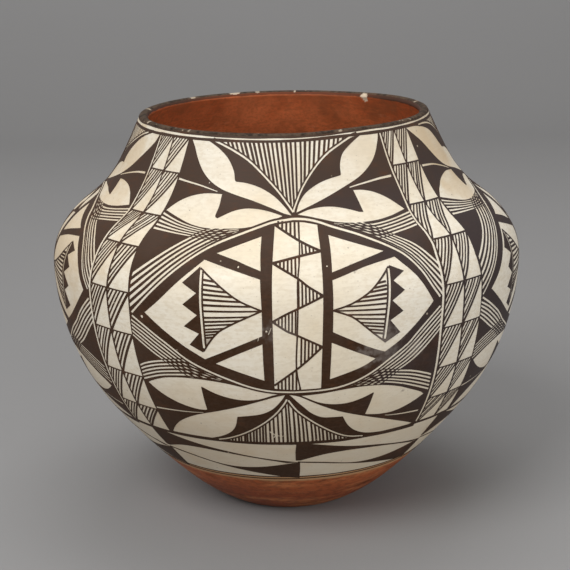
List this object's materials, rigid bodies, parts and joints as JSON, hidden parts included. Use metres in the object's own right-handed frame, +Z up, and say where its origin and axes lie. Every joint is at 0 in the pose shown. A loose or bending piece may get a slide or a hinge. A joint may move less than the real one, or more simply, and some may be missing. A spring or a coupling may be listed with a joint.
{
  "type": "pottery jar",
  "caption": "Coil-built earthenware water jar with a hollowed base, high round belly, leaning neck and painted slip outside.",
  "frame": {"origin": "middle of the flat ring that the jar stands on, at the height of that ring", "axes": "+Z up along the jar's axis of revolution; -Y faces the viewer of the picture"},
  "size_m": [0.3319, 0.332, 0.2811],
  "materials": {
    "fired_clay": "matt, scraped earthenware",
    "red_base_slip": "stone-polished slip, satin",
    "white_slip": "stone-polished slip, satin",
    "red_mouth_slip": "brushed slip, matt",
    "black_rim_paint": "mineral paint, matt and worn"
  },
  "bodies": {
    "root": {"pressed_base": "fired_clay", "wall_coil_1": "fired_clay", "wall_coil_2": "fired_clay", "wall_coil_3": "fired_clay", "wall_coil_4": "fired_clay", "wall_coil_5": "fired_clay", "lip_coil": "fired_clay", "red_base_slip": "red_base_slip", "white_slip": "white_slip", "red_mouth_slip": "red_mouth_slip", "black_rim_paint": "black_rim_paint"}
  },
  "joints": []
}
